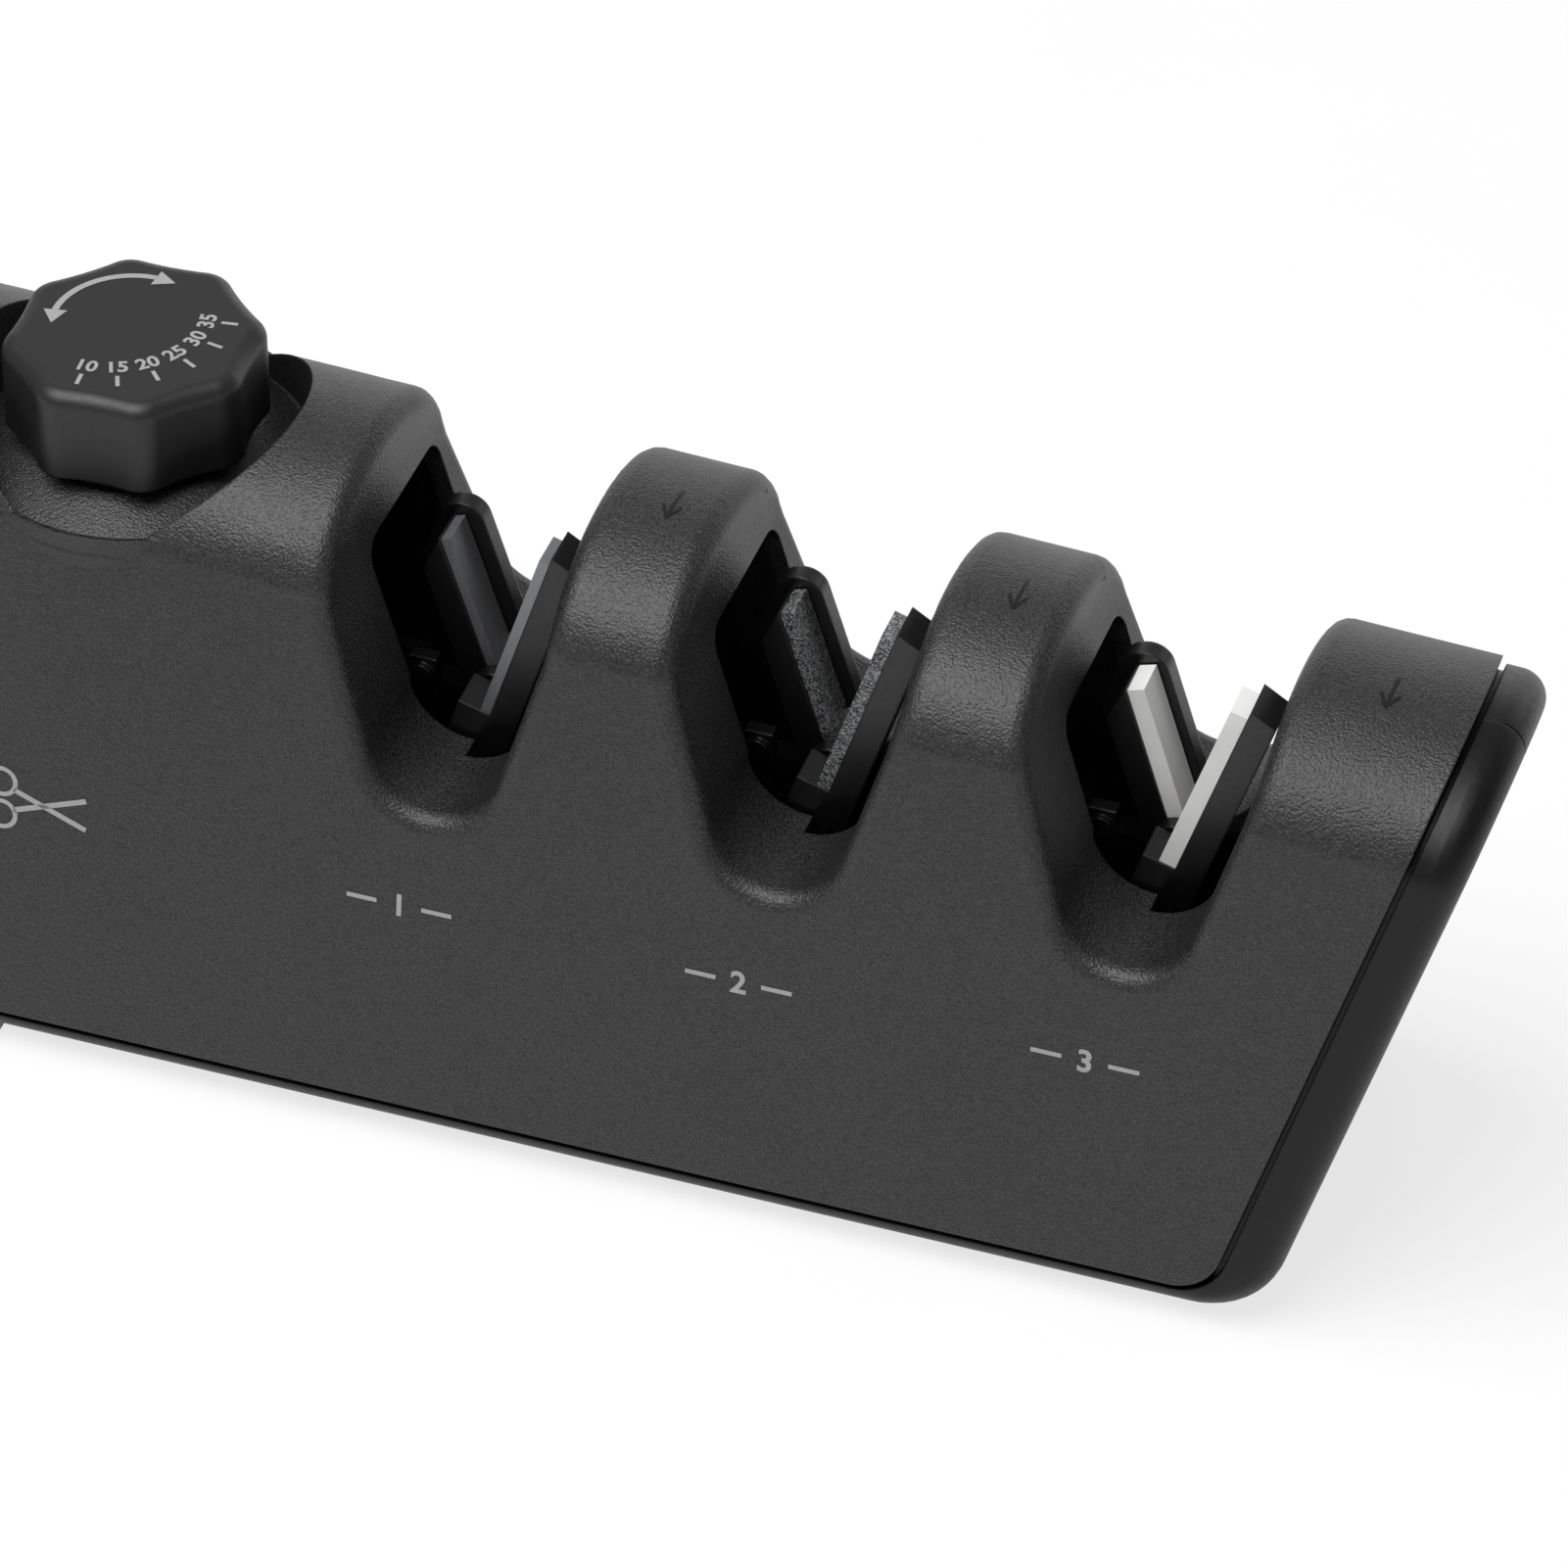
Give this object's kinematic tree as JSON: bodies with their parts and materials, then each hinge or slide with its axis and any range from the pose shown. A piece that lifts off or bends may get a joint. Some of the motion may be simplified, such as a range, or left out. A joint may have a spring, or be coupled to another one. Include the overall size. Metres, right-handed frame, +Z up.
{
  "type": "manual knife sharpener",
  "caption": "Manual knife sharpener with a handle, V-shaped knife slots whose crossed abrasive plates are set by an angle knob, and a scissor slot.",
  "frame": {"origin": "on the table plane, below the middle of the overall length and depth", "axes": "+X from the handle towards the slot end, +Y from the pictured front face to the back, +Z up"},
  "size_m": [0.2818, 0.0512, 0.0763],
  "materials": {
    "casing_plastic": "fine spark-eroded texture, black",
    "trim_plastic": "smooth satin, black",
    "knob_plastic": "smooth matt, black",
    "holder_plastic": "smooth satin, black",
    "inner_plastic": "black acetal, as moulded",
    "coarse_plate": "ground carbide, fine grinding lines",
    "medium_plate": "diamond grit bonded to steel",
    "fine_plate": "ground white ceramic",
    "rod_ceramic": "ground white ceramic",
    "steel": "zinc-plated steel",
    "soft_rubber": "matt soft-touch rubber, dark grey",
    "foot_rubber": "matt light-grey rubber"
  },
  "bodies": {
    "casing": {"upper_casing": "casing_plastic", "base_frame": "trim_plastic", "end_cap": "trim_plastic", "chassis": "inner_plastic", "detent_leaf": "steel", "pivot_pin_1": "steel", "pivot_pin_2": "steel", "pivot_pin_3": "steel", "scissor_insert": "holder_plastic", "front_rod": "rod_ceramic", "back_rod": "rod_ceramic", "handle_front": "trim_plastic", "handle_back": "trim_plastic", "soft_grip": "soft_rubber", "left_foot": "foot_rubber", "right_foot": "foot_rubber", "casing_screws": "steel", "chassis_screws": "steel", "handle_screws": "steel"},
    "knob": {"angle_knob": "knob_plastic", "cam_disc": "inner_plastic", "cam_screw": "steel"},
    "front_slide": {"front_slide": "inner_plastic"},
    "back_slide": {"back_slide": "inner_plastic"},
    "right_abrasive_1": {"right_holder_1": "holder_plastic", "right_plate_1": "coarse_plate"},
    "left_abrasive_1": {"left_holder_1": "holder_plastic", "left_plate_1": "coarse_plate"},
    "right_abrasive_2": {"right_holder_2": "holder_plastic", "right_plate_2": "medium_plate"},
    "left_abrasive_2": {"left_holder_2": "holder_plastic", "left_plate_2": "medium_plate"},
    "right_abrasive_3": {"right_holder_3": "holder_plastic", "right_plate_3": "fine_plate"},
    "left_abrasive_3": {"left_holder_3": "holder_plastic", "left_plate_3": "fine_plate"}
  },
  "joints": [
    {"name": "knob_turn", "type": "hinge", "parent": "casing", "child": "knob", "pos_m": [-0.0035, 0, 0.07], "axis": [0, 0, 1], "range_deg": [0, 97.2]},
    {"name": "front_slide_travel", "type": "slide", "parent": "casing", "child": "front_slide", "axis": [1, 0, 0], "range_m": [0, 0.00273]},
    {"name": "back_slide_travel", "type": "slide", "parent": "casing", "child": "back_slide", "axis": [-1, 0, 0], "range_m": [0, 0.00273]},
    {"name": "right_tilt_1", "type": "hinge", "parent": "casing", "child": "right_abrasive_1", "pos_m": [0.0345, 0, 0.0405], "axis": [0, -1, 0], "range_deg": [0, 12.5]},
    {"name": "left_tilt_1", "type": "hinge", "parent": "casing", "child": "left_abrasive_1", "pos_m": [0.0345, 0, 0.0405], "axis": [0, 1, 0], "range_deg": [0, 12.5]},
    {"name": "right_tilt_2", "type": "hinge", "parent": "casing", "child": "right_abrasive_2", "pos_m": [0.0705, 0, 0.0405], "axis": [0, -1, 0], "range_deg": [0, 12.5]},
    {"name": "left_tilt_2", "type": "hinge", "parent": "casing", "child": "left_abrasive_2", "pos_m": [0.0705, 0, 0.0405], "axis": [0, 1, 0], "range_deg": [0, 12.5]},
    {"name": "right_tilt_3", "type": "hinge", "parent": "casing", "child": "right_abrasive_3", "pos_m": [0.1065, 0, 0.0405], "axis": [0, -1, 0], "range_deg": [0, 12.5]},
    {"name": "left_tilt_3", "type": "hinge", "parent": "casing", "child": "left_abrasive_3", "pos_m": [0.1065, 0, 0.0405], "axis": [0, 1, 0], "range_deg": [0, 12.5]}
  ],
  "couplings": [
    {"joint": "knob_turn", "follows": "front_slide_travel", "rad_per_m": 620.57},
    {"joint": "back_slide_travel", "follows": "front_slide_travel", "ratio": 1},
    {"joint": "right_tilt_1", "follows": "front_slide_travel", "rad_per_m": 79.8},
    {"joint": "left_tilt_1", "follows": "front_slide_travel", "rad_per_m": 79.8},
    {"joint": "right_tilt_2", "follows": "front_slide_travel", "rad_per_m": 79.8},
    {"joint": "left_tilt_2", "follows": "front_slide_travel", "rad_per_m": 79.8},
    {"joint": "right_tilt_3", "follows": "front_slide_travel", "rad_per_m": 79.8},
    {"joint": "left_tilt_3", "follows": "front_slide_travel", "rad_per_m": 79.8}
  ]
}
